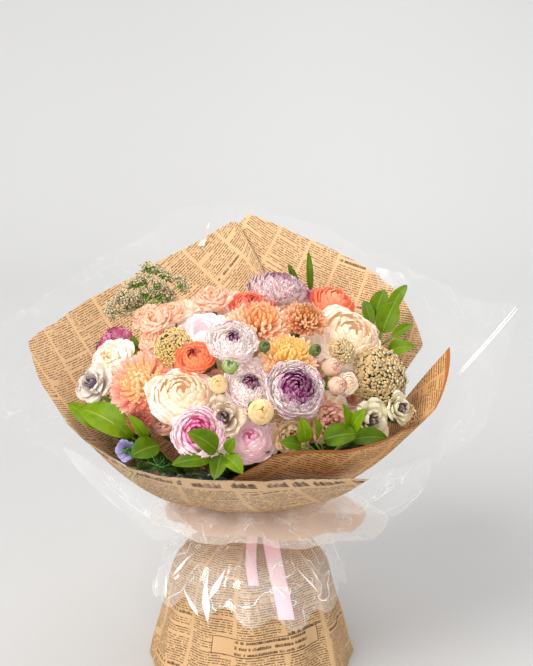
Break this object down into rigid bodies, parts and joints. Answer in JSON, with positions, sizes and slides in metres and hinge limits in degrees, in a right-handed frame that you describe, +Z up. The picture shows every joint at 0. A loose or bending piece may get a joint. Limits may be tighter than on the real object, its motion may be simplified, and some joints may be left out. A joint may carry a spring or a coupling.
{
  "type": "mixed flower bouquet",
  "caption": "Hand-tied mixed flower bouquet in printed kraft paper and clear film with a pink satin ribbon, standing on its flared paper skirt.",
  "frame": {"origin": "on the surface the paper skirt stands on, under the middle of the bouquet's outline seen from above", "axes": "+X to the bouquet's right as its front is looked at, +Y to its back, +Z up along the tied stems"},
  "size_m": [0.5656, 0.4706, 0.4762],
  "materials": {
    "leaf_green": "satin",
    "needle_green": "matte",
    "spray_green": "matte",
    "stem": "matte",
    "twine": "matte",
    "printed_kraft": "matte",
    "plain_kraft": "matte",
    "clear_film": "clear gloss",
    "pink_satin": "satin",
    "petal_picotee": "matte",
    "petal_pink": "matte",
    "petal_cream": "matte",
    "bud_green": "matte",
    "petal_coral": "matte",
    "petal_peach": "matte",
    "petal_bronze": "matte",
    "petal_salmon": "matte",
    "petal_white": "matte",
    "petal_blush": "matte",
    "petal_magenta": "matte",
    "petal_lilac": "matte",
    "cluster_cream": "matte"
  },
  "bodies": {
    "root": {"ranunculus_picotee_top": "petal_picotee", "ranunculus_picotee_mid": "petal_picotee", "ranunculus_picotee_big": "petal_picotee", "ranunculus_picotee_low": "petal_picotee", "ranunculus_pink": "petal_pink", "ranunculus_pink_half_open": "petal_pink", "ranunculus_cream_bud": "petal_cream", "ranunculus_green_bud": "bud_green", "ranunculus_blush_bud": "petal_cream", "garden_rose_cream_left": "petal_cream", "garden_rose_cream_right": "petal_cream", "ranunculus_coral_right": "petal_coral", "ranunculus_coral_back": "petal_coral", "chrysanthemum_peach": "petal_peach", "chrysanthemum_bronze": "petal_bronze", "chrysanthemum_yellow": "petal_peach", "chrysanthemum_salmon": "petal_salmon", "chrysanthemum_small": "petal_bronze", "ranunculus_orange": "petal_coral", "ranunculus_blush_white": "petal_white", "carnation_peach": "petal_blush", "carnation_magenta_left": "petal_magenta", "carnation_magenta_back": "petal_magenta", "lisianthus_cream_left": "petal_cream", "anemone_white_left": "petal_white", "anemone_lilac": "petal_lilac", "anemone_grey": "petal_lilac", "rice_flower_right": "cluster_cream", "rice_flower_inner": "cluster_cream", "rice_flower_low": "cluster_cream", "rice_flower_yellow": "cluster_cream", "anemone_white_right": "petal_white", "alstroemeria_cream": "petal_cream", "lisianthus_dusty": "petal_blush", "lisianthus_beige": "petal_blush", "stock_peach": "petal_blush", "spray_rose_blush": "petal_blush", "scabiosa_pods": "bud_green", "spray_rose_back": "petal_cream", "spray_chrysanthemum_back": "petal_peach", "lisianthus_spray_inner": "petal_blush", "ruscus_left": "leaf_green", "ruscus_front": "leaf_green", "ruscus_low_right": "leaf_green", "ruscus_high_right": "leaf_green", "ruscus_back": "leaf_green", "ruscus_back_left": "leaf_green", "needle_green_front": "needle_green", "open_spray_green": "spray_green", "stem_bundle": "stem", "twine": "twine", "collar_back_left": "printed_kraft", "collar_back_right": "printed_kraft", "collar_front_right": "printed_kraft", "collar_front_left": "printed_kraft", "paper_skirt": "printed_kraft", "paper_flounce": "plain_kraft", "clear_film": "clear_film", "ribbon": "pink_satin"}
  },
  "joints": []
}
